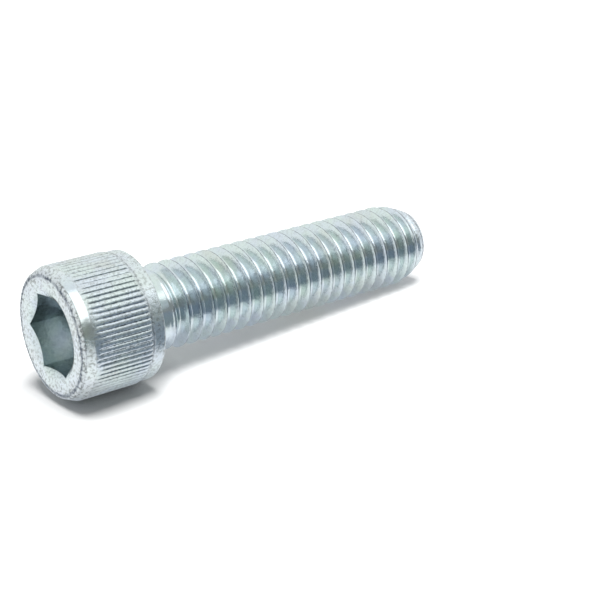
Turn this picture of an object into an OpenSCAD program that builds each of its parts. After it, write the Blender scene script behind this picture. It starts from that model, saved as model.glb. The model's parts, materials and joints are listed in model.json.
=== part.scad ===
// Hex socket cap screw, fully threaded, lying as it comes to rest: on the knurl of
// its head and on the crests near its point. The screw is drawn upright with its
// socket face at z = 0 and its point up, and lay_down() then puts it on the floor.

/* [Thread] */
// Nominal diameter of the thread
thread_d = 9.525; // [9.025:0.025:10.5]
// How far the crests stay inside the nominal radius
crest_allowance = 0.04; // [0.02:0.01:0.1]
// Distance from one crest to the next along the axis
pitch = 1.5875; // [1.2:0.0125:1.8]
// Included angle of the two flanks
flank_angle = 60; // [55:1:65]
// Length under the head, to the flat end of the point
shank_l = 38.1; // [25:0.1:45]
// Diameter of the plain neck, the size of the blank before the thread was rolled
neck_d = 8.6; // [8.3:0.05:8.9]
// Length of the plain neck, from the bearing face to the first groove
neck_l = 1.2; // [1.1:0.1:4]
// Turns over which the thread rises from the neck to its full form
runout_turns = 0.5; // [0.3:0.1:2]
// Diameter of the flat end of the point
point_d = 6.9; // [6:0.05:7.6]
// Length over which the crests fall to the point
point_l = 3.8; // [1.2:0.1:4.5]
// Roundness of that fall: 1 is a straight cone
point_curve = 1.6; // [1:0.1:2]

/* [Head] */
// Diameter over the knurl
head_d = 14.3; // [14:0.05:16]
// Height from the bearing face to the socket face
head_h = 9.5; // [8.5:0.1:11]
// Width of the rounded rim of the socket face
rim_w = 0.55; // [0.3:0.05:0.8]
// Height of that rim along the axis
rim_h = 0.3; // [0.2:0.05:0.6]
// How far the smooth slope before the knurl falls inside the head's radius
slope_drop = 0.4; // [0.3:0.05:0.6]
// Distance from the socket face to the front end of the knurl
knurl_start = 1.2; // [1:0.05:2]
// Smooth groove behind the knurl, along the axis
groove_l = 0.4; // [0.2:0.05:0.8]
// Plain band at the bearing end of the head
band_l = 1.35; // [0.8:0.05:2]
// How far the band stays inside the knurl's radius
band_drop = 0.15; // [0.05:0.01:0.2]
// Bevel at the outer edge of the bearing face
bearing_bevel = 0.2; // [0.1:0.05:0.4]
// Fillet between the bearing face and the neck
fillet_r = 0.6; // [0.3:0.05:1]

/* [Knurl] */
// Number of straight serrations round the head
serrations = 75; // [50:1:90]
// Depth of a serration
serration_depth = 0.24; // [0.15:0.01:0.3]

/* [Socket] */
// Width of the hexagon across its flats
hex_af = 7.95; // [6:0.05:8.5]
// Depth of the hexagon's flats from the socket face
socket_depth = 4.9; // [3.5:0.1:5.5]
// Included angle of the cone at the socket's bottom
bottom_angle = 120; // [110:5:140]
// Ledge round the bottom cone, inside the flats
bottom_ledge = 0.2; // [0.1:0.05:0.5]
// How far the countersink reaches past the hexagon's corners
mouth_margin = 0.2; // [0.05:0.01:0.4]
// Included angle of the countersink at the socket's mouth
mouth_angle = 120; // [80:2:140]
// Turn of the hexagon about the axis, from its corner pointing down
hex_turn = 30; // [0:0.5:60]

/* [Hidden] */

SIDES = 40;                       // columns of thread points round the axis
CLEAR = 0.5;                      // how far a cut runs past the face that it opens
EMBED = 0.4;                      // how far the threaded core reaches into the neck
CORE_GAP = 0.05;                  // how far that end of the core stays inside the neck's surface
END_GAP = 0.06;                   // least distance of a thread point from an end, in pitches

head_r = head_d / 2;
band_r = head_r - band_drop;
neck_r = neck_d / 2;
crest_r = thread_d / 2 - crest_allowance;
core_r = neck_r - CORE_GAP;
point_r = point_d / 2;
crest_w = pitch / 8;
root_w = pitch / 6;
flank_w = (pitch - crest_w - root_w) / 2;
thread_depth = flank_w / tan(flank_angle / 2);

neck_end = head_h + neck_l;
point_z = head_h + shank_l;
thread_z = neck_end - EMBED;

rim_out = head_r - slope_drop;
knurl_end = head_h - band_l - groove_l;
root_r = head_r - serration_depth;

hex_r = hex_af / 2 / cos(30);
mouth_r = hex_r + mouth_margin;
bottom_r = hex_af / 2 - bottom_ledge;

// Lying pose: a straight edge touches the last full crest and either the rear end of
// the knurl, where a gap between two teeth faces the floor, or the band's rear edge.
rest_crest_z = point_z - point_l;
crest_rest_r = crest_r * cos(180 / SIDES);
knurl_rest_r = head_r * cos(180 / serrations);
band_end = head_h - bearing_bevel;
tilt = max(atan((knurl_rest_r - crest_rest_r) / (rest_crest_z - knurl_end)),
           atan((band_r - crest_rest_r) / (rest_crest_z - band_end)));
rest_height = max(knurl_end * sin(tilt) + knurl_rest_r * cos(tilt), band_end * sin(tilt) + band_r * cos(tilt));
low_x = -(rim_out - rim_w) * sin(tilt);
high_x = point_z * cos(tilt) + point_r * sin(tilt);

// Points of a quarter arc from angle a to angle b about a centre.
function arc(cx, cy, r, a, b, steps = 6) =
    [for (i = [0:steps]) [cx + r * cos(a + (b - a) * i / steps), cy + r * sin(a + (b - a) * i / steps)]];

// Half section of the head, fillet and neck: radius first, then height.
function head_section() = concat(
    [[0, 0]],
    [for (p = arc(0, 0, 1, -90, 0)) [rim_out - rim_w * (1 - p[0]), rim_h * (1 + p[1])]],
    [[head_r, knurl_start],
     [head_r, knurl_end],
     [root_r, knurl_end + serration_depth],
     [root_r, knurl_end + groove_l - serration_depth / 4],
     [band_r, knurl_end + groove_l],
     [band_r, band_end],
     [band_r - bearing_bevel, head_h]],
    arc(neck_r + fillet_r, head_h + fillet_r, fillet_r, -90, -180),
    [[neck_r, neck_end], [0, neck_end]]
);

// Outline of the knurled length: one tooth and one gap for each serration.
function knurl_outline() = [
    for (i = [0:2 * serrations - 1])
        let (r = i % 2 == 0 ? root_r : head_r + CLEAR / 10, a = 180 * i / serrations)
        [r * cos(a), r * sin(a)]
];

// Thread points: each column of the grid follows the axis, each row the helix.
// A row is one edge of the profile: crest start, crest end, root start, root end.
row_offset = [0, crest_w, crest_w + flank_w, crest_w + flank_w + root_w];
rows = 4 * (ceil((point_z - thread_z) / pitch) + 3);

// At angle zero, the middle of each crest is a whole number of pitches from the head.
first_crest = head_h + pitch * (floor((thread_z - head_h) / pitch) - 1) - crest_w / 2;

function turn(j) = (j + 0.5) / SIDES;
function row_z(j, k) = first_crest + pitch * (turn(j) + floor(k / 4)) + row_offset[k % 4];
function first_row(j, k = 0) = row_z(j, k + 1) > thread_z + END_GAP * pitch ? k : first_row(j, k + 1);
function last_row(j, k = 0) = row_z(j, k) > point_z - END_GAP * pitch ? k : last_row(j, k + 1);
first_rows = [for (j = [0:SIDES - 1]) first_row(j)];
last_rows = [for (j = [0:SIDES - 1]) last_row(j)];

// The thread rises only after the facets that cross the end of the neck.
function rise(z) = min(1, max(0, (z - neck_end - flank_w) / (runout_turns * pitch)));
function point_share(z) = pow(max(0, z - rest_crest_z) / point_l, point_curve);
function envelope(z) = crest_r - point_share(z) * (crest_r - point_r);
function full_radius(k) = k % 4 > 1 ? crest_r - thread_depth : crest_r;
function thread_radius(z, k) = min(envelope(z), core_r + rise(z) * (full_radius(k) - core_r));

function thread_point(j, k) =
    let (z = k <= first_rows[j] ? thread_z : k >= last_rows[j] ? point_z : row_z(j, k),
         r = k >= last_rows[j] ? point_r : thread_radius(z, k),
         a = 360 * turn(j))
    [r * cos(a), r * sin(a), z];

function index(j, k) =
    j < SIDES ? j * rows + min(max(k, first_rows[j]), last_rows[j]) : index(0, k + 4);
function whole(f) = f[0] != f[1] && f[1] != f[2] && f[2] != f[0];

module thread() {
    points = [for (j = [0:SIDES - 1]) for (k = [0:rows - 1]) thread_point(j, k)];
    walls = [
        for (j = [0:SIDES - 1]) for (k = [-4:rows - 2])
            let (a = index(j, k), b = index(j + 1, k), c = index(j + 1, k + 1), d = index(j, k + 1))
            for (f = [[a, d, c], [a, c, b]]) if (whole(f)) f
    ];
    start = [for (j = [0:SIDES - 1]) index(j, 0)];
    finish = [for (j = [SIDES - 1:-1:0]) index(j, rows - 1)];
    polyhedron(points, concat(walls, [start, finish]), convexity = 10);
}

module head_and_neck() {
    intersection() {
        rotate_extrude($fn = 96) polygon(head_section());
        union() {
            linear_extrude(height = knurl_end + serration_depth) polygon(knurl_outline());
            translate([0, 0, knurl_end + serration_depth / 2])
                cylinder(r = head_r + CLEAR, h = head_h + neck_l);
        }
    }
}

module socket() {
    rotate([0, 0, hex_turn]) translate([0, 0, -CLEAR])
        cylinder(r = hex_r, h = socket_depth + CLEAR, $fn = 6);
    translate([0, 0, socket_depth - CLEAR / 10])
        cylinder(r1 = bottom_r + CLEAR / 10 * tan(bottom_angle / 2), r2 = 0,
                 h = bottom_r / tan(bottom_angle / 2) + CLEAR / 10, $fn = 96);
    mouth_h = mouth_r / tan(mouth_angle / 2);
    mouth_over = CLEAR / 10;
    translate([0, 0, -mouth_over])
        cylinder(r1 = mouth_r + mouth_over * tan(mouth_angle / 2), r2 = 0, h = mouth_h + mouth_over, $fn = 96);
}

module lay_down() {
    translate([-(low_x + high_x) / 2, 0, rest_height]) rotate([0, 90 + tilt, 0]) children();
}

module cap_screw() {
    color([0.76, 0.79, 0.81]) lay_down() {
        difference() {
            union() {
                head_and_neck();
                thread();
            }
            socket();
        }
    }
}

cap_screw();
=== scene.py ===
import bpy
import bmesh
import json
import math
from mathutils import Matrix, Vector


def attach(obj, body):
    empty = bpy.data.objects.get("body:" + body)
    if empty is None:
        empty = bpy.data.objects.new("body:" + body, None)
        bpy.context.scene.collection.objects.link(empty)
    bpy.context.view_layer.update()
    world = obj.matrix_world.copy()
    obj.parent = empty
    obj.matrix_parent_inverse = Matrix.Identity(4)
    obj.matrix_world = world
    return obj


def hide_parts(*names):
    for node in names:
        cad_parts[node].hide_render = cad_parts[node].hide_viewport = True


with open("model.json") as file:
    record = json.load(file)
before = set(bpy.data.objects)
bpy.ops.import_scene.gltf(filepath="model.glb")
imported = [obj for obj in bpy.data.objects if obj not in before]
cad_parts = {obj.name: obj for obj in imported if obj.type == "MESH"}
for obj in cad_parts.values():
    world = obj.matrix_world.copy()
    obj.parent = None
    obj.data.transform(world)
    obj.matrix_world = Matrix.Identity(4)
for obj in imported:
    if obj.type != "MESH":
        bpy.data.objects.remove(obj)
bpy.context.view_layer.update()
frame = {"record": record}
mm = 0.001
print("frame loaded")


# The screw is made upright in millimetres, socket face at z = 0 and point up, and then
# laid where the CAD screw lies: the hexagon's mount gives the place and the axis.
def layingMatrix():
    mounts = {mount["name"]: mount for mount in frame["record"]["mounts"]}
    along = -Vector(mounts["hex_socket"]["axis"]).normalized()
    side = Vector((0, 1, 0))
    down = side.cross(along)
    turn = Matrix((down, side, along)).transposed().to_4x4()
    return Matrix.Translation(Vector(mounts["hex_socket"]["pos_m"])) @ turn @ Matrix.Scale(mm, 4)


# A number in a node tree. Its sums, products and powers add the tree's Math nodes.
class Field:
    def __init__(self, tree, socket):
        self.tree = tree
        self.socket = socket

    def __add__(self, other):
        return calc(self.tree, "ADD", self, other)

    def __sub__(self, other):
        return calc(self.tree, "SUBTRACT", self, other)

    def __rsub__(self, other):
        return calc(self.tree, "SUBTRACT", other, self)

    def __mul__(self, other):
        return calc(self.tree, "MULTIPLY", self, other)

    def __truediv__(self, other):
        return calc(self.tree, "DIVIDE", self, other)

    def __pow__(self, other):
        return calc(self.tree, "POWER", self, other)

    def clamped(self):
        self.socket.node.use_clamp = True
        return self


def plug(tree, value, socket):
    if isinstance(value, Field):
        value = value.socket
    if isinstance(value, bpy.types.NodeSocket):
        tree.links.new(value, socket)
    else:
        socket.default_value = value


def addNode(tree, kind, inputs=(), **settings):
    node = tree.nodes.new(kind)
    for name, value in settings.items():
        setattr(node, name, value)
    for socket, value in dict(inputs).items():
        plug(tree, value, node.inputs[socket])
    return node


def calc(tree, operation, *values):
    node = addNode(tree, "ShaderNodeMath", operation=operation)
    for value, socket in zip(values, node.inputs):
        plug(tree, value, socket)
    return Field(tree, node.outputs[0])


def splitPlace(tree, place):
    outputs = addNode(tree, "ShaderNodeSeparateXYZ", {0: place}).outputs
    return [Field(tree, output) for output in outputs]


def joinPlace(tree, x, y, z):
    return addNode(tree, "ShaderNodeCombineXYZ", {0: x, 1: y, 2: z}).outputs[0]


def mixColour(tree, share, one, two):
    # by number, because a Mix node has several sockets of each name
    return addNode(tree, "ShaderNodeMix", {0: share, 6: one, 7: two}, data_type="RGBA").outputs[2]


def mapRange(tree, value, fromEnds, toEnds=(0.0, 1.0), soft=False):
    inputs = {"Value": value, "From Min": fromEnds[0], "From Max": fromEnds[1],
              "To Min": toEnds[0], "To Max": toEnds[1]}
    kind = "SMOOTHSTEP" if soft else "LINEAR"
    node = addNode(tree, "ShaderNodeMapRange", inputs, interpolation_type=kind)
    return Field(tree, node.outputs["Result"])


def newMaterial(name):
    material = bpy.data.materials.new(name)
    material.use_nodes = True
    material.node_tree.nodes.clear()
    return material, material.node_tree


def newShapeTree(name, sizes):
    # a geometry tree with one named input for each size and one for the material
    tree = bpy.data.node_groups.new(name, "GeometryNodeTree")
    tree.interface.new_socket("Geometry", in_out="INPUT", socket_type="NodeSocketGeometry")
    tree.interface.new_socket("Geometry", in_out="OUTPUT", socket_type="NodeSocketGeometry")
    for size, value in sizes.items():
        kind = "NodeSocketInt" if isinstance(value, int) else "NodeSocketFloat"
        tree.interface.new_socket(size, in_out="INPUT", socket_type=kind)
    tree.interface.new_socket("Material", in_out="INPUT", socket_type="NodeSocketMaterial")
    inputs = tree.nodes.new("NodeGroupInput").outputs
    fields = {size: Field(tree, inputs[size]) for size in sizes}
    return tree, fields, inputs


def storeMark(tree, shape, name, value):
    inputs = {"Geometry": shape, "Name": name, "Value": value}
    node = addNode(tree, "GeometryNodeStoreNamedAttribute", inputs, data_type="FLOAT", domain="POINT")
    return node.outputs[0]


def readMark(tree, name):
    node = addNode(tree, "GeometryNodeInputNamedAttribute", {"Name": name}, data_type="FLOAT")
    return Field(tree, node.outputs["Attribute"])


def endShapeTree(tree, shape, material):
    real = addNode(tree, "GeometryNodeRealizeInstances", {0: shape})
    dressed = addNode(tree, "GeometryNodeSetMaterial", {"Geometry": real.outputs[0], "Material": material})
    addNode(tree, "NodeGroupOutput", {0: dressed.outputs[0]})


def runTree(piece, tree, sizes, material):
    modifier = piece.modifiers.new(tree.name, "NODES")
    modifier.node_group = tree
    for socket in tree.interface.items_tree:
        if socket.in_out == "INPUT" and socket.name in sizes:
            modifier[socket.identifier] = sizes[socket.name]
        if socket.in_out == "INPUT" and socket.name == "Material":
            modifier[socket.identifier] = material
    bpy.context.view_layer.update()
    shown = piece.evaluated_get(bpy.context.evaluated_depsgraph_get())
    mesh = bpy.data.meshes.new_from_object(shown)
    piece.modifiers.clear()
    return mesh


# Zinc plate: a bright, slightly blue-green metal with cloudy tints and a fine grain.
# The attribute coarse says how rough the forged or cut steel is under the plate, and
# depositAndShade how dark the surface is: real marks on the rim and its crease, dirt with
# painted shade in the knurl's valleys, painted shade in the socket and beside the thread's
# crests, and a darker groove behind the knurl. A noise has its scale, detail and
# roughness, and ends are the noise's values that give 0 and 1.
zincFinish = {
    "blue": (0.68, 0.75, 0.81, 1),
    "green": (0.70, 0.80, 0.76, 1),
    "cloudNoise": (330.0, 4.0, 0.5),
    "cloudEnds": (0.35, 0.65),
    "olive": (0.60, 0.62, 0.54, 1),
    "oliveNoise": (190.0, 3.0, 0.5),
    "oliveEnds": (0.52, 0.70),
    "oliveShare": 0.5,
    "pale": (0.93, 0.95, 0.96, 1),
    "paleShare": 0.6,
    "lumpNoise": (3200.0, 4.0, 0.65),
    "pit": (0.22, 0.23, 0.20, 1),
    "pitEnds": (0.38, 0.53),
    "pitShare": 0.85,
    "darkDepositAndShade": (0.045, 0.07, 0.11, 1),
    "raggedEnds": (0.60, 0.42),
    "evenShare": 0.5,
    "smoothRough": 0.13,
    "coarseRough": 0.38,
    "cloudRough": 0.06,
    "grainNoise": (6500.0, 2.0, 0.6),
    "grainShare": 0.3,
    "grainLeast": 0.03,
    "grainDepth": 0.00009,
    "waveNoise": (750.0, 2.0, 0.5),
    "waveDepth": 0.00003,
}


def makeZinc():
    look = zincFinish
    material, tree = newMaterial("zincPlate")
    place = addNode(tree, "ShaderNodeTexCoord").outputs["Object"]
    coarse, depositAndShade = [Field(tree, addNode(tree, "ShaderNodeAttribute", attribute_name=name).outputs["Fac"])
                    for name in ("coarse", "depositAndShade")]

    def noise(name):
        scale, detail, rough = look[name]
        inputs = {"Vector": place, "Scale": scale, "Detail": detail, "Roughness": rough}
        return Field(tree, addNode(tree, "ShaderNodeTexNoise", inputs).outputs["Fac"])

    def bump(height, depth, **before):
        inputs = {"Height": height, "Strength": 1.0, "Distance": depth, **before}
        return addNode(tree, "ShaderNodeBump", inputs).outputs["Normal"]

    cloud = mapRange(tree, noise("cloudNoise"), look["cloudEnds"], soft=True)
    colour = mixColour(tree, cloud, look["blue"], look["green"])
    stain = mapRange(tree, noise("oliveNoise"), look["oliveEnds"], soft=True) * look["oliveShare"]
    colour = mixColour(tree, stain, colour, look["olive"])
    colour = mixColour(tree, coarse * look["paleShare"], colour, look["pale"])
    lump = noise("lumpNoise")
    pits = 1.0 - mapRange(tree, lump, look["pitEnds"], soft=True)
    colour = mixColour(tree, pits * (coarse * look["pitShare"]), colour, look["pit"])
    patchy = mapRange(tree, lump, look["raggedEnds"], soft=True) * (1 - look["evenShare"])
    # darker by depositAndShade: real marks and dirt, and painted shade in the valleys, the socket and beside
    # the crests
    colour = mixColour(tree, depositAndShade * (patchy + look["evenShare"]), colour, look["darkDepositAndShade"])

    rough = coarse * (look["coarseRough"] - look["smoothRough"]) + look["smoothRough"]
    rough = rough + (cloud - 0.5) * look["cloudRough"]
    waves = bump(noise("waveNoise"), look["waveDepth"])
    grain = (lump + noise("grainNoise") * look["grainShare"]) * (coarse + look["grainLeast"])
    normal = bump(grain, look["grainDepth"], Normal=waves)
    shader = addNode(tree, "ShaderNodeBsdfPrincipled",
                     {"Base Color": colour, "Roughness": rough, "Metallic": 1.0, "Normal": normal})
    addNode(tree, "ShaderNodeOutputMaterial", {"Surface": shader.outputs["BSDF"]})
    return material


# Head, in millimetres from the socket face and degrees round the axis from the side that
# faces the floor. Shares say where the rings of vertices lie on a stretch, and those of
# the knurl also say how much of its depth is cut there.
head = {
    "radius": 7.148,
    "height": 9.5,
    "faceRadius": 6.2,
    "faceShares": (0.2, 0.45, 0.7, 0.9),
    "creaseInner": 0.14,
    "creaseOuter": 0.2,
    "rimRadius": 6.75,
    "rimHeight": 0.3,
    "rimSteps": 5,
    "slopeDrop": 0.02,
    "slopeBulge": 0.3,
    "slopeShares": (0.08, 0.35, 0.65, 0.92),
    "polishedAt": 231,
    "polishedWidth": 37,
    "polishedFall": 4,
    "polishedAtKnurl": 0.8,
    "knurlStart": 1.2,
    "knurlDrop": 0.01,
    "knurlFirst": 0.05,
    "knurlShares": ((0.025, 0.5), (0.06, 0.85), (0.12, 1), (0.3, 1),
                    (0.5, 1), (0.7, 1), (0.9, 1), (0.975, 1)),
    "knurlLast": 0.7,
    "knurlBevel": 0.08,
    "groove": 0.4,
    "grooveBottom": (0.2, 0.3),
    "band": 1.35,
    "bandDrop": 0.15,
    "bandShares": (0.1, 0.5, 0.9),
    "bearingBevel": 0.2,
    "bevelSteps": 3,
    "fillet": 0.6,
    "filletSteps": 6,
    "neckRadius": 4.3,
    "neckLength": 1.2,
    "neckStep": 0.2,
    "hexAcrossFlats": 7.95,
    "hexTurn": 30,
    "socketDepth": 4.9,
    "wallShares": (0.0, 0.25, 0.5, 0.75, 0.97, 1.0),
    "mouthMargin": 0.2,
    "mouthAngle": 120,
    "mouthInner": 0.02,
    "mouthOuter": 0.04,
    "bottomLedge": 0.2,
    "bottomAngle": 120,
    "bottomDepth": 2.2,
    "bottomShares": (0.35, 0.7, 1.0),
    "columnsPerSerration": 8,
    "neckColumns": 100,
}
# The two marks of the zinc plate on each zone of the head. In the second, the socket's
# bottom and walls are painted shade, darker deeper in, the crease and rim are real marks,
# and the groove is darker. The hexagon's six flats, from the one nearest the floor, add
# their own painted shade to the wall's.
headCoarse = {
    "bottom": 0.5,
    "wall": 0.12,
    "mouth": 0.5,
    "mouthOuter": 0.7,
    "face": 0.5,
    "faceRise": 0.4,
    "rim": 1.0,
    "slope": 0.75,
    "knurlStart": 0.6,
    "knurl": 0.38,
    "knurlEnd": 0.6,
    "groove": 0.7,
    "bandStart": 0.8,
    "band": 0.5,
    "bevel": 0.7,
    "bearing": 0.5,
    "neck": 0.1,
}
headDepositAndShade = {
    "bottom": 0.5,
    "wall": 0.16,
    "wallShadeAtMouth": 0.08,
    "flats": (0.30, 0.0, 0.24, 0.0, 0.0, 0.0),
    "creaseInner": 0.3,
    "crease": 0.85,
    "rim": 0.25,
    "groove": 0.3,
}
# Knurl: straight serrations, of which each has its own depth and place to start. Uneven is
# the largest share of its depth that one lacks, and Start Uneven how late one may start.
knurl = {
    "Serrations": 75,
    "Depth": 0.14,
    "Roundness": 3.0,
    "Uneven": 0.45,
    "Start": 1.1,
    "Start Uneven": 0.7,
    "Start Length": 0.5,
    # the valleys' darkening is partly dirt and partly painted shade
    "Valley Dirt And Shade": 0.78,
    "Seed": 7,
}


def mouthRadius():
    return head["hexAcrossFlats"] / 2 / math.cos(math.radians(30)) + head["mouthMargin"]


def mouthDepth(radius):
    # depth of the countersink's cone at a radius
    return max(0, mouthRadius() - radius) / math.tan(math.radians(head["mouthAngle"] / 2))


def hexRadius(angle):
    fromFlat = (angle - math.radians(head["hexTurn"] + 30)) % math.radians(60)
    fromFlat = min(fromFlat, math.radians(60) - fromFlat)
    return head["hexAcrossFlats"] / 2 / math.cos(fromFlat)


def polish(angle):
    # 1 in the middle of the slope's polished stretch, 0 outside it
    away = abs((math.degrees(angle) - head["polishedAt"] + 180) % 360 - 180)
    return max(0, 1 - (away / head["polishedWidth"]) ** head["polishedFall"])


def arcRows(centreRadius, centreHeight, radial, axial, start, end, steps):
    rows = []
    for i in range(steps + 1):
        a = math.radians(start + (end - start) * i / steps)
        rows.append((centreRadius + radial * math.cos(a), centreHeight + axial * math.sin(a)))
    return rows


# The head's section as rings of vertices, from the bottom of the socket out to the face,
# over the knurl and down to the neck. A ring on the socket's wall follows the hexagon.
def headRings():
    h, coarse, depositAndShade = head, headCoarse, headDepositAndShade
    mouth = mouthRadius()
    ledge = h["hexAcrossFlats"] / 2 - h["bottomLedge"]
    knurlEnd = h["height"] - h["band"] - h["groove"]
    knurlRoot = h["radius"] - knurl["Depth"]
    band = h["radius"] - h["bandDrop"]
    rings = []

    def ring(radius, height, coarseMark, depositAndShadeMark=0.0, knurled=0.0, wall=None, polished=0.0):
        rings.append({"radius": radius, "height": height, "coarse": coarseMark, "depositAndShade": depositAndShadeMark,
                      "knurl": knurled, "wall": wall, "polished": polished})

    # socket and face; the socket's bottom and walls get painted shade, darker deeper in
    cone = ledge / math.tan(math.radians(h["bottomAngle"] / 2))
    for share in h["bottomShares"]:
        ring(ledge * share, h["socketDepth"] + cone * (1 - share), coarse["bottom"], depositAndShade["bottom"])
    for share in h["wallShares"]:
        # painted shade on the socket's walls, darker deeper in the socket
        wallShade = depositAndShade["wall"] + (depositAndShade["wallShadeAtMouth"] - depositAndShade["wall"]) * share
        ring(mouth, 0, coarse["wall"], wallShade, wall=share)
    ring(mouth - h["mouthInner"], mouthDepth(mouth - h["mouthInner"]), coarse["mouth"])
    ring(mouth + h["mouthOuter"], 0, coarse["mouthOuter"])
    for share in h["faceShares"]:
        ring(mouth + (h["faceRadius"] - mouth) * share, 0, coarse["face"] + coarse["faceRise"] * share)

    # crease, rim and slope
    ring(h["faceRadius"] - h["creaseInner"], 0, coarse["rim"], depositAndShade["creaseInner"])
    ring(h["faceRadius"], 0, coarse["rim"], depositAndShade["crease"])
    rim = arcRows(h["faceRadius"], h["rimHeight"], h["rimRadius"] - h["faceRadius"], h["rimHeight"],
                  -90, 0, h["rimSteps"])
    for radius, height in rim[1:]:
        inCrease = radius < h["faceRadius"] + h["creaseOuter"]
        ring(radius, height, coarse["rim"], depositAndShade["crease"] if inCrease else depositAndShade["rim"])
    slope = h["radius"] - h["slopeDrop"] - h["rimRadius"]
    for share in h["slopeShares"]:
        rise = math.sin(math.radians(90 * share)) * h["slopeBulge"] + share * (1 - h["slopeBulge"])
        height = h["rimHeight"] + (h["knurlStart"] - h["rimHeight"]) * share
        ring(h["rimRadius"] + slope * rise, height, coarse["slope"], polished=1.0)

    # knurl and the groove behind it
    ring(h["radius"] - h["knurlDrop"], h["knurlStart"], coarse["knurlStart"],
         knurled=h["knurlFirst"], polished=h["polishedAtKnurl"])
    for share, amount in h["knurlShares"]:
        height = h["knurlStart"] + (knurlEnd - h["knurlStart"]) * share
        ring(h["radius"], height, coarse["knurl"], knurled=amount)
    ring(h["radius"] - h["knurlBevel"], knurlEnd + h["knurlBevel"], coarse["knurlEnd"],
         knurled=h["knurlLast"])
    for past in h["grooveBottom"]:
        ring(knurlRoot, knurlEnd + past, coarse["groove"], depositAndShade["groove"])

    # band, bearing face, fillet and neck
    bandStart = knurlEnd + h["groove"]
    ring(band, bandStart, coarse["bandStart"])
    for share in h["bandShares"]:
        ring(band, bandStart + (h["band"] - h["bearingBevel"]) * share, coarse["band"])
    bevel = h["bearingBevel"]
    for radius, height in arcRows(band - bevel, h["height"] - bevel, bevel, bevel, 0, 90, h["bevelSteps"]):
        ring(radius, height, coarse["bevel"])
    fillet = h["fillet"]
    filletRadius = h["neckRadius"] + fillet
    ring((band + filletRadius) / 2, h["height"], coarse["bearing"])
    for radius, height in arcRows(filletRadius, h["height"] + fillet, fillet, fillet,
                                  -90, -180, h["filletSteps"]):
        ring(radius, height, coarse["neck"])
    ring(h["neckRadius"], h["height"] + h["neckLength"] - h["neckStep"], coarse["neck"])
    return rings


def makeHeadMesh():
    columns = knurl["Serrations"] * head["columnsPerSerration"]
    bm = bmesh.new()
    marks = {name: bm.verts.layers.float.new(name) for name in ("coarse", "depositAndShade", "knurl")}
    bottom = bm.verts.new((0, 0, head["socketDepth"] + head["bottomDepth"]))
    bottom[marks["coarse"]] = headCoarse["bottom"]
    circles = []
    for ring in headRings():
        circle = []
        for column in range(columns):
            angle = 2 * math.pi * column / columns
            radius, height, depositAndShade = ring["radius"], ring["height"], ring["depositAndShade"]
            if ring["wall"] is not None:
                radius = hexRadius(angle)
                height = head["socketDepth"] + (mouthDepth(radius) - head["socketDepth"]) * ring["wall"]
                # painted shade: two flats of the socket's walls are darker than the others
                depositAndShade += headDepositAndShade["flats"][round(6 * column / columns) % 6]
            vert = bm.verts.new((radius * math.cos(angle), radius * math.sin(angle), height))
            vert[marks["coarse"]] = ring["coarse"] * (1 - ring["polished"] * polish(angle))
            vert[marks["depositAndShade"]] = depositAndShade
            vert[marks["knurl"]] = ring["knurl"]
            circle.append(vert)
        circles.append(circle)
    for column in range(columns):
        after = (column + 1) % columns
        bm.faces.new((bottom, circles[0][column], circles[0][after]))
        for one, two in zip(circles, circles[1:]):
            bm.faces.new((one[column], two[column], two[after], one[after]))
    addNeckEnd(bm, circles[-1], marks["coarse"])
    bmesh.ops.recalc_face_normals(bm, faces=bm.faces)
    mesh = bpy.data.meshes.new("screwHead")
    bm.to_mesh(mesh)
    bm.free()
    return mesh


def addNeckEnd(bm, circle, coarseMark):
    # the neck has fewer columns than the knurl, so one row of faces steps down to them
    columns = head["neckColumns"]
    step = len(circle) // columns
    middle = step // 2
    neck = []
    for column in range(columns):
        angle = 2 * math.pi * column / columns
        x, y = head["neckRadius"] * math.cos(angle), head["neckRadius"] * math.sin(angle)
        vert = bm.verts.new((x, y, head["height"] + head["neckLength"]))
        vert[coarseMark] = headCoarse["neck"]
        neck.append(vert)
    for column in range(columns):
        after = (column + 1) % columns
        fan = [circle[(column * step + k) % len(circle)] for k in range(step + 1)]
        for k in range(step):
            tip = neck[column] if k < middle else neck[after]
            bm.faces.new((fan[k], tip, fan[k + 1]))
        bm.faces.new((fan[middle], neck[column], neck[after]))


borderStep = 0.0001  # moves a vertex on a border into the tooth or turn that starts there
leastRadius = 0.1  # keeps the division by the radius off zero on the axis


def makeKnurlTree():
    tree, size, inputs = newShapeTree("straightKnurl", knurl)
    x, y, z = splitPlace(tree, addNode(tree, "GeometryNodeInputPosition").outputs[0])
    teeth = calc(tree, "ARCTAN2", y, x) / (2 * math.pi) * size["Serrations"] + size["Serrations"]
    phase = calc(tree, "FRACT", teeth + borderStep)
    number = calc(tree, "FLOOR", teeth + borderStep)
    hollow = calc(tree, "ABSOLUTE", phase * 2.0 - 1.0) ** size["Roundness"]

    def chance(seed):
        node = addNode(tree, "FunctionNodeRandomValue", {"ID": number, "Seed": seed}, data_type="FLOAT")
        return Field(tree, node.outputs[1])

    depth = size["Depth"] * (1.0 - chance(size["Seed"]) * size["Uneven"])
    begun = z - (size["Start"] + chance(size["Seed"] + 1.0) * size["Start Uneven"])
    marked = readMark(tree, "knurl") * (begun / size["Start Length"]).clamped()
    cut = depth * hollow * marked
    radius = calc(tree, "SQRT", x * x + y * y)
    share = 1.0 - cut / calc(tree, "MAXIMUM", radius, leastRadius)
    moved = joinPlace(tree, x * share, y * share, z)

    # darker towards the valleys' bottoms: partly dirt, partly painted shade
    valley = hollow ** 2.0 * marked * size["Valley Dirt And Shade"]
    depositAndShade = calc(tree, "MAXIMUM", readMark(tree, "depositAndShade"), valley)
    shape = storeMark(tree, inputs["Geometry"], "depositAndShade", depositAndShade)
    placed = addNode(tree, "GeometryNodeSetPosition", {"Geometry": shape, "Position": moved})
    endShapeTree(tree, placed.outputs[0], inputs["Material"])
    return tree
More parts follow.
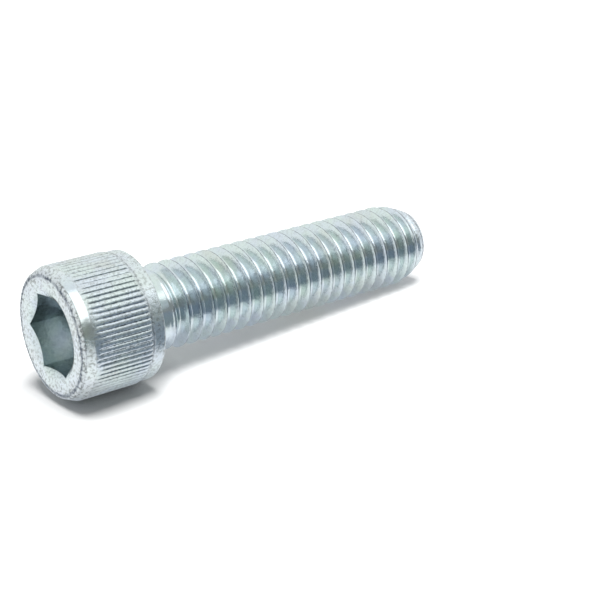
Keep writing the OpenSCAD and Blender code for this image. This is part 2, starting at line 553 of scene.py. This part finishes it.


# Shank: a grid whose rows follow the helix, so that every crest is an unbroken edge. Start
# and End are millimetres from the socket face. Halves are shares of the pitch, and the
# place and reach of the painted shade line beside each crest are rows from the crest's
# middle. Nicks come where a noise is over its level.
shankLength = 38.1
shank = {
    "Columns": head["neckColumns"],
    "Rows Per Pitch": 24,
    "Pitch": 1.5875,
    "Crest Radius": 4.7225,
    "Depth": 0.975,
    "Crest Half": 0.0417,
    "Root Half": 0.10,
    "Flank Curve": 1.0,
    "Root Round": 0.5,
    "Head Height": head["height"],
    "Neck Radius": head["neckRadius"],
    "Start": head["height"] + head["neckLength"],
    "Run In Start": 11.7,
    "Run In Length": 1.5,
    "End": head["height"] + shankLength,
    "End Edge": 0.15,
    "Point Radius": 3.4,
    "Point Length": 3.8,
    "Point Curve": 1.6,
    "Shade Line At": 1.0,
    "Shade Line Reach": 1.2,
    "Shade Line Dark": 0.75,
    "Plain Coarse": 0.10,
    "Crest Coarse": 0.1,
    "Frost Length": 2.2,
    "Point Frost": 0.5,
    "Nick Scale": 1.1,
    "Nick Detail": 3.0,
    "Nick Level": 0.58,
    "Nicks": 0.3,
    "Nick Margin": 0.01,
    "Merge Distance": 0.0005,
}


def makeThreadTree():
    tree, size, inputs = newShapeTree("rolledThread", shank)
    perPitch = size["Rows Per Pitch"]
    last = size["End"] - size["End Edge"]
    pitches = calc(tree, "CEIL", (last - size["Head Height"]) / size["Pitch"])
    rows = (pitches + 1.0) * perPitch
    grid = addNode(tree, "GeometryNodeMeshGrid", {"Size X": 1.0, "Size Y": 1.0,
                   "Vertices X": size["Columns"] + 1.0, "Vertices Y": rows + 1.0})
    across, up, _ = splitPlace(tree, addNode(tree, "GeometryNodeInputPosition").outputs[0])
    turn = across + 0.5
    pitchesUp = calc(tree, "ROUND", (up + 0.5) * rows) / perPitch
    onHelix = size["Head Height"] + size["Pitch"] * (pitchesUp + turn - 1.0)
    height = calc(tree, "MINIMUM", calc(tree, "MAXIMUM", onHelix, size["Start"]), last)

    # share of the thread's depth: 0 on the crest's flat, 1 in the root, which is rounded
    phase = calc(tree, "FRACT", pitchesUp + borderStep)
    fromCrest = 0.5 - calc(tree, "ABSOLUTE", phase - 0.5)
    flank = 0.5 - size["Root Half"] - size["Crest Half"]
    share = calc(tree, "MAXIMUM", (fromCrest - size["Crest Half"]) / flank, 0.0) ** size["Flank Curve"]
    share = calc(tree, "SMOOTH_MIN", share, 1.0, size["Root Round"])
    full = size["Crest Radius"] - share * size["Depth"]

    # the thread rises from the neck, and its crests fall to the point
    rise = ((height - size["Run In Start"]) / size["Run In Length"]).clamped()
    threaded = size["Neck Radius"] + rise * (full - size["Neck Radius"])
    toEnd = (size["End"] - height) / size["Point Length"]
    narrow = calc(tree, "MAXIMUM", 1.0 - toEnd, 0.0) ** size["Point Curve"]
    envelope = size["Crest Radius"] - narrow * (size["Crest Radius"] - size["Point Radius"])
    radius = calc(tree, "MINIMUM", threaded, envelope)

    # small nicks along the crests
    angle = turn * (2 * math.pi)
    cosine, sine = calc(tree, "COSINE", angle), calc(tree, "SINE", angle)
    place = joinPlace(tree, radius * cosine, radius * sine, height)
    noise = addNode(tree, "ShaderNodeTexNoise",
                    {"Vector": place, "Scale": size["Nick Scale"], "Detail": size["Nick Detail"]})
    nick = calc(tree, "MAXIMUM", Field(tree, noise.outputs["Fac"]) - size["Nick Level"], 0.0) * size["Nicks"]
    onCrest = (1.0 - share).clamped()
    inside = rise * calc(tree, "GREATER_THAN", last - height, size["Nick Margin"])
    worn = radius - nick * (onCrest * inside)
    moved = joinPlace(tree, worn * cosine, worn * sine, height)

    # a thin line of painted shade beside the crest, on the side of the point
    shadeLine = calc(tree, "COMPARE", phase * perPitch, size["Shade Line At"], size["Shade Line Reach"])
    shape = storeMark(tree, grid.outputs["Mesh"], "depositAndShade", shadeLine * rise * size["Shade Line Dark"])
    nearEnd = (1.0 - (size["End"] - height) / size["Frost Length"]).clamped()
    coarse = size["Plain Coarse"] + onCrest * rise * size["Crest Coarse"] + nearEnd * size["Point Frost"]
    shape = storeMark(tree, shape, "coarse", coarse)
    placed = addNode(tree, "GeometryNodeSetPosition", {"Geometry": shape, "Position": moved})
    merged = addNode(tree, "GeometryNodeMergeByDistance",
                     {"Geometry": placed.outputs[0], "Distance": size["Merge Distance"]})
    endShapeTree(tree, merged.outputs[0], inputs["Material"])
    return tree


# Flat end of the point, with a rounded edge. Its shares of the flat's radius are rings of
# a very shallow hollow, and the middle lies a little deeper.
pointEnd = {
    "sameHeight": 0.001,
    "coarse": 0.5,
    "edgeSteps": 3,
    "shares": (0.8, 0.5, 0.2),
    "hollow": 0.01,
    "middle": 0.012,
}


def closePoint(bm):
    edge, end = shank["End Edge"], shank["End"]
    last = end - edge
    rim = [vert for vert in bm.verts if abs(vert.co.z - last) < pointEnd["sameHeight"]]
    rim.sort(key=lambda vert: math.atan2(vert.co.y, vert.co.x))
    flat = math.hypot(rim[0].co.x, rim[0].co.y) - edge
    coarse = bm.verts.layers.float["coarse"]
    rows = arcRows(flat, last, edge, edge, 0, 90, pointEnd["edgeSteps"])[1:]
    rows += [(flat * share, end - pointEnd["hollow"] * (1 - share)) for share in pointEnd["shares"]]
    before = rim
    for radius, height in rows:
        circle = []
        for vert in rim:
            angle = math.atan2(vert.co.y, vert.co.x)
            new = bm.verts.new((radius * math.cos(angle), radius * math.sin(angle), height))
            new[coarse] = pointEnd["coarse"]
            circle.append(new)
        for k in range(len(rim)):
            after = (k + 1) % len(rim)
            bm.faces.new((before[k], before[after], circle[after], circle[k]))
        before = circle
    middle = bm.verts.new((0, 0, end - pointEnd["middle"]))
    middle[coarse] = pointEnd["coarse"]
    for k in range(len(rim)):
        bm.faces.new((before[k], before[(k + 1) % len(rim)], middle))


# How the head and the shank are joined to one shell, in millimetres and degrees.
joining = {
    "merge": 0.002,
    "thinnest": 0.0005,
    "sharpFrom": 38,
}


def makeScrew():
    zinc = makeZinc()
    carrier = bpy.data.objects.new("screwShape", makeHeadMesh())
    bpy.context.scene.collection.objects.link(carrier)
    headMesh = runTree(carrier, makeKnurlTree(), knurl, zinc)
    print("head and knurl made")
    threadMesh = runTree(carrier, makeThreadTree(), shank, zinc)
    print("thread made")
    bpy.data.objects.remove(carrier)

    bm = bmesh.new()
    bm.from_mesh(threadMesh)
    closePoint(bm)
    bm.from_mesh(headMesh)
    bmesh.ops.remove_doubles(bm, verts=bm.verts, dist=joining["merge"])
    bmesh.ops.dissolve_degenerate(bm, edges=bm.edges, dist=joining["thinnest"])
    bmesh.ops.recalc_face_normals(bm, faces=bm.faces)
    bm.transform(layingMatrix())
    mesh = bpy.data.meshes.new("capScrew")
    bm.to_mesh(mesh)
    openEdges = sum(1 for edge in bm.edges if len(edge.link_faces) != 2)
    volume = round(bm.calc_volume() / mm ** 3, 1)
    print("screw faces", len(bm.faces), "open edges", openEdges, "volume mm3", volume)
    bm.free()
    mesh.materials.clear()
    mesh.materials.append(zinc)
    mesh.shade_smooth()
    mesh.set_sharp_from_angle(angle=math.radians(joining["sharpFrom"]))
    screw = bpy.data.objects.new("capScrew", mesh)
    bpy.context.scene.collection.objects.link(screw)
    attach(screw, "root")
    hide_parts("cap_screw")


# Floor: white paper, in metres. It takes the shadow as a matt surface and glows a little
# for the camera, so that the picture's background is white. Under the head its colour gets a
# painted contact shadow. In mirrored rays alone it shows a painted reflection of a darker
# tone, and in front of the screw a painted dark reflection that stands for shade lying there.
floorLook = {
    "size": 2.4,
    "paper": (0.90, 0.90, 0.90),
    "glowNear": 0.03,
    "glowFar": 0.60,
    "glowEnds": (0.03, 0.12),
    "glowShank": 0.15,
    "headEnds": (-0.017, -0.009),
    "paintedContactShadow": 0.36,
    "contactReach": 0.008,
    "contactSamples": 8,
    "paintedReflectionTone": (0.74, 0.79, 0.86, 1),
    "paintedReflectionShare": 0.55,
    "paintedDarkReflection": (0.24, 0.29, 0.34, 1),
    "paintedDarkEdge": -0.0065,
    "paintedDarkTurn": -0.015,
    "paintedDarkSlant": 1.6,
    "paintedDarkBlur": 0.005,
}


def makeFloor():
    look = floorLook
    bpy.ops.mesh.primitive_plane_add(size=look["size"])
    floor = bpy.context.object
    floor.name = "paperFloor"
    material, tree = newMaterial("whitePaper")
    rays = addNode(tree, "ShaderNodeLightPath").outputs
    place = addNode(tree, "ShaderNodeTexCoord").outputs["Object"]
    x, y, _ = splitPlace(tree, place)

    # the glow grows away from the screw, and from the head to the shank
    away = addNode(tree, "ShaderNodeVectorMath", {0: place}, operation="LENGTH").outputs["Value"]
    far = mapRange(tree, away, look["glowEnds"], (look["glowNear"], look["glowFar"]))
    byShank = mapRange(tree, x, look["headEnds"], (0.0, look["glowShank"]))
    strength = (far + byShank) * Field(tree, rays["Is Camera Ray"])
    glow = addNode(tree, "ShaderNodeEmission", {"Strength": strength})

    # painted contact shadow: the paper's colour gets darker where the head almost touches it
    under = mapRange(tree, x, look["headEnds"], (look["paintedContactShadow"], 0.0))
    paintedContactShadow = addNode(tree, "ShaderNodeAmbientOcclusion", {"Distance": look["contactReach"]},
                      samples=look["contactSamples"])
    openness = Field(tree, paintedContactShadow.outputs["AO"]) ** under
    shade = addNode(tree, "ShaderNodeVectorMath", {0: look["paper"], "Scale": openness}, operation="SCALE")
    paper = addNode(tree, "ShaderNodeBsdfDiffuse", {"Color": shade.outputs[0]})
    both = addNode(tree, "ShaderNodeAddShader", {0: glow.outputs[0], 1: paper.outputs[0]})

    # the painted dark reflection's edge runs beside the shank and turns away in front of the head
    slanted = (x - look["paintedDarkTurn"]) * look["paintedDarkSlant"]
    edge = calc(tree, "MINIMUM", slanted, 0.0) + look["paintedDarkEdge"]
    inPaintedDark = ((edge - y) / look["paintedDarkBlur"]).clamped()
    # in mirrored rays the floor shows a painted reflection: a darker tone, and the painted dark reflection
    # in front of the screw
    tone = mixColour(tree, inPaintedDark, look["paintedReflectionTone"], look["paintedDarkReflection"])
    paintedReflection = addNode(tree, "ShaderNodeEmission", {"Color": tone})
    share = calc(tree, "MAXIMUM", inPaintedDark, look["paintedReflectionShare"]) * Field(tree, rays["Is Glossy Ray"])
    shown = addNode(tree, "ShaderNodeMixShader", {0: share, 1: both.outputs[0], 2: paintedReflection.outputs[0]})
    addNode(tree, "ShaderNodeOutputMaterial", {"Surface": shown.outputs[0]})
    floor.data.materials.append(material)


# Light: a pale room. Each patch is a round part of it, seen from the screw, in degrees
# from its middle: full up to the first angle, gone at the second. Flatten draws it out
# sideways. The paper gets only a part of the room's light.
room = {
    "air": (0.94, 0.97, 0.98, 1),
    "strength": 1.0,
    "onPaper": 0.22,
}
roomPatches = {
    "window": {
        "towards": (-0.36, -0.46, 0.81),
        "flatten": 1.0,
        "ends": (20, 30),
        "colour": (1.7, 1.75, 1.78, 1),
    },
    "darkSide": {
        "towards": (0.10, -1.0, 0.0),
        "flatten": 3.0,
        "ends": (58, 67),
        "colour": (0.27, 0.29, 0.28, 1),
    },
    "halfLight": {
        "towards": (0.48, -0.72, 0.40),
        "flatten": 1.0,
        "ends": (3, 20),
        "colour": (0.52, 0.58, 0.60, 1),
    },
    "sideWindow": {
        "towards": (0.55, -0.54, 0.64),
        "flatten": 1.0,
        "ends": (7, 13),
        "colour": (1.4, 1.45, 1.48, 1),
    },
}


def makeRoom():
    world = bpy.data.worlds.new("paleRoom")
    bpy.context.scene.world = world
    world.use_nodes = True
    tree = world.node_tree
    tree.nodes.clear()
    towards = addNode(tree, "ShaderNodeTexCoord").outputs["Generated"]
    colour = room["air"]

    def vectorMath(operation, output, *values):
        node = addNode(tree, "ShaderNodeVectorMath", dict(enumerate(values)), operation=operation)
        return node.outputs[output]

    for patch in roomPatches.values():
        stretch = Vector((1, 1, patch["flatten"]))
        middle = (Vector(patch["towards"]) * stretch).normalized()
        flattened = vectorMath("NORMALIZE", 0, vectorMath("MULTIPLY", 0, towards, stretch))
        nearness = vectorMath("DOT_PRODUCT", "Value", flattened, middle)
        full, gone = (math.cos(math.radians(angle)) for angle in patch["ends"])
        colour = mixColour(tree, mapRange(tree, nearness, (gone, full), soft=True), colour, patch["colour"])
    matt = addNode(tree, "ShaderNodeLightPath").outputs["Is Diffuse Ray"]
    strength = mapRange(tree, matt, (0.0, 1.0), (room["strength"], room["onPaper"]))
    light = addNode(tree, "ShaderNodeBackground", {"Color": colour, "Strength": strength})
    addNode(tree, "ShaderNodeOutputWorld", {"Surface": light.outputs[0]})


# A soft box almost overhead gives the paper its light and the screw its shadow.
softBox = {
    "place": (-0.01, -0.08, 0.39),
    "size": 0.22,
    "brightness": 15.5,
}


def makeSoftBox():
    lamp = bpy.data.lights.new("softBox", "AREA")
    lamp.size = softBox["size"]
    lamp.energy = softBox["brightness"] * math.pi * softBox["size"] ** 2
    holder = bpy.data.objects.new("softBox", lamp)
    holder.location = softBox["place"]
    holder.rotation_euler = (-Vector(softBox["place"])).to_track_quat("-Z", "Y").to_euler()
    holder.visible_glossy = False
    bpy.context.scene.collection.objects.link(holder)


# Camera: the photograph's view, for a picture of 600 by 600. Places are millimetres.
view = {
    "place": (-88.633, -135.176, 68.860),
    "yaw": 54.4972,
    "pitch": -22.0123,
    "roll": -5.1843,
    "lens": 94.435,
    "sensor": 36.0,
    "nearest": 5.0,
}


def makeCamera():
    yaw, pitch, roll = (math.radians(view[name]) for name in ("yaw", "pitch", "roll"))
    ahead = Vector((math.cos(pitch) * math.cos(yaw), math.cos(pitch) * math.sin(yaw), math.sin(pitch)))
    level = Vector((math.sin(yaw), -math.cos(yaw), 0))
    up = level.cross(ahead)
    right = level * math.cos(roll) + up * math.sin(roll)
    top = up * math.cos(roll) - level * math.sin(roll)
    lens = bpy.data.cameras.new("photoView")
    lens.lens = view["lens"]
    lens.sensor_width = view["sensor"]
    lens.clip_start = view["nearest"] * mm
    camera = bpy.data.objects.new("photoView", lens)
    turn = Matrix((right, top, -ahead)).transposed().to_4x4()
    camera.matrix_world = Matrix.Translation(Vector(view["place"]) * mm) @ turn
    bpy.context.scene.collection.objects.link(camera)
    bpy.context.scene.camera = camera


makeCamera()
makeRoom()
makeSoftBox()
bpy.context.scene.view_settings.view_transform = "Standard"
print("camera, room and soft box made")
makeFloor()
print("floor made")
makeScrew()
print("screw made")
